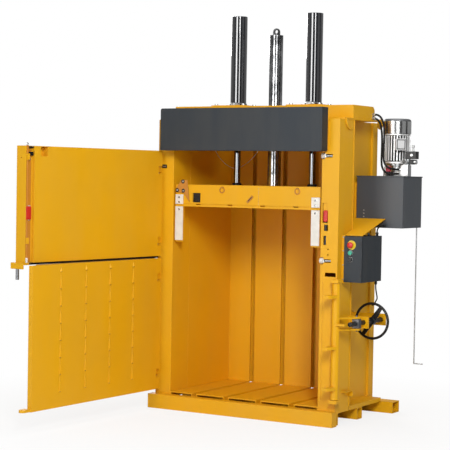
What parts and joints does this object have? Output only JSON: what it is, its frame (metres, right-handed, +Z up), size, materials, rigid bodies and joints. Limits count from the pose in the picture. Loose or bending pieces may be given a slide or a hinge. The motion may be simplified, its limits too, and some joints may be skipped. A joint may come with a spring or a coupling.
{
  "type": "recycling baler",
  "caption": "Vertical baling press with a ram on hydraulic cylinders and a guide column, an upper and a lower front door, a handwheel lock and a side mounted power pack.",
  "frame": {"origin": "on the floor, on the centre line, below the plane of the posts' front faces", "axes": "+X to the machine's right as seen from the front, +Y from the doors towards the back wall, +Z up"},
  "size_m": [1.9166, 2.3426, 2.8],
  "materials": {
    "yellow_paint": "semi-gloss machine paint",
    "dark_paint": "satin grey paint",
    "bright_steel": "machined",
    "motor_aluminium": "cast, painted grey",
    "white_plastic": "matte",
    "red_plastic": "glossy",
    "green_plastic": "glossy",
    "black_plastic": "matte",
    "yellow_plastic": "glossy",
    "black_rubber": "matte",
    "pale_cable": "matte",
    "black_paint": "satin black"
  },
  "bodies": {
    "frame": {"left_post": "yellow_paint", "right_post": "yellow_paint", "side_walls": "yellow_paint", "back_wall": "yellow_paint", "strap_channels": "yellow_paint", "floor_planks": "yellow_paint", "base_beams": "yellow_paint", "head_plate": "yellow_paint", "head_beam": "yellow_paint", "front_crossbeam": "yellow_paint", "small_brackets": "yellow_paint", "front_cover": "dark_paint", "barrels": "dark_paint", "cylinder_flanges": "yellow_paint", "flange_bolts": "bright_steel", "guide_bush": "bright_steel", "hinge_brackets": "yellow_paint", "hinge_pins": "bright_steel", "lock_brackets": "yellow_paint", "roller_pins": "bright_steel", "oil_tank": "dark_paint", "tank_lid": "dark_paint", "pump_block": "bright_steel", "motor_body": "motor_aluminium", "motor_cowl": "motor_aluminium", "valve_stack": "bright_steel", "filler_cap": "red_plastic", "drain_rod": "bright_steel", "hood": "yellow_paint", "control_box": "dark_paint", "control_lid": "dark_paint", "stop_collar": "yellow_plastic", "cable_glands": "black_plastic", "hose_a": "black_rubber", "hose_b": "black_rubber", "box_cable": "black_rubber", "lock_cable": "black_rubber", "loop_cable": "pale_cable"},
    "upper_door": {"upper_door": "yellow_paint", "upper_hardware": "yellow_paint", "door_pin": "bright_steel"},
    "drop_bolt": {"drop_bolt": "yellow_paint"},
    "lower_door": {"lower_door": "yellow_paint", "strap_guides": "yellow_paint"},
    "ram": {"ram_platen": "yellow_paint", "ram_frame": "yellow_paint", "ram_fittings": "bright_steel", "wear_blocks": "white_plastic", "piston_rods": "bright_steel", "guide_column": "bright_steel"},
    "post_latch": {"post_latch": "red_plastic"},
    "lock": {"lock_shaft": "yellow_paint"},
    "nut": {"spindle_nut": "bright_steel"},
    "wheel": {"spindle": "bright_steel", "handwheel": "black_paint"},
    "upper_roller": {"upper_roller": "white_plastic"},
    "lower_roller": {"lower_roller": "white_plastic"},
    "stop_button": {"stop_button": "red_plastic"},
    "start_button": {"start_button": "green_plastic"},
    "return_button": {"return_button": "black_plastic"}
  },
  "joints": [
    {"name": "upper_door_hinge", "type": "hinge", "parent": "frame", "child": "upper_door", "pos_m": [-0.705, -0.045, 1.4], "axis": [0, 0, 1], "range_deg": [-60, 94.5]},
    {"name": "drop_bolt_slide", "type": "slide", "parent": "upper_door", "child": "drop_bolt", "axis": [0, 0, 1], "range_m": [0, 0.04]},
    {"name": "lower_door_hinge", "type": "hinge", "parent": "frame", "child": "lower_door", "pos_m": [-0.705, -0.045, 0.6], "axis": [0, 0, 1], "range_deg": [-60, 92]},
    {"name": "ram_slide", "type": "slide", "parent": "frame", "child": "ram", "axis": [0, 0, 1], "range_m": [-0.46, 0.1]},
    {"name": "post_latch_slide", "type": "slide", "parent": "frame", "child": "post_latch", "axis": [0, 0, 1], "range_m": [0, 0.04]},
    {"name": "handwheel_turn", "type": "hinge", "parent": "frame", "child": "wheel", "pos_m": [0.822, 0.33, 0.687], "axis": [0, 1, 0], "range_deg": [0, 1800]},
    {"name": "nut_slide", "type": "slide", "parent": "frame", "child": "nut", "axis": [0, 1, 0], "range_m": [-0.0861, 0]},
    {"name": "lock_hinge", "type": "hinge", "parent": "frame", "child": "lock", "pos_m": [0.73, -0.032, 0.6], "axis": [0, 0, 1], "range_deg": [-30.05, 0]},
    {"name": "upper_roller_spin", "type": "hinge", "parent": "frame", "child": "upper_roller", "pos_m": [0.593, 0.022, 1.801], "axis": [1, 0, 0], "continuous": true},
    {"name": "lower_roller_spin", "type": "hinge", "parent": "frame", "child": "lower_roller", "pos_m": [0.593, 0.022, 1.1], "axis": [1, 0, 0], "continuous": true},
    {"name": "stop_button_press", "type": "slide", "parent": "frame", "child": "stop_button", "axis": [0, 1, 0], "range_m": [0, 0.005], "stiffness_N_per_m": 400, "springref_m": -0.002},
    {"name": "start_button_press", "type": "slide", "parent": "frame", "child": "start_button", "axis": [0, 1, 0], "range_m": [0, 0.005], "stiffness_N_per_m": 400, "springref_m": -0.002},
    {"name": "return_button_press", "type": "slide", "parent": "frame", "child": "return_button", "axis": [0, 1, 0], "range_m": [0, 0.005], "stiffness_N_per_m": 400, "springref_m": -0.002}
  ],
  "couplings": [
    {"joint": "nut_slide", "follows": "handwheel_turn", "m_per_rad": -0.002734},
    {"joint": "lock_hinge", "follows": "handwheel_turn", "ratio": -0.016667}
  ]
}
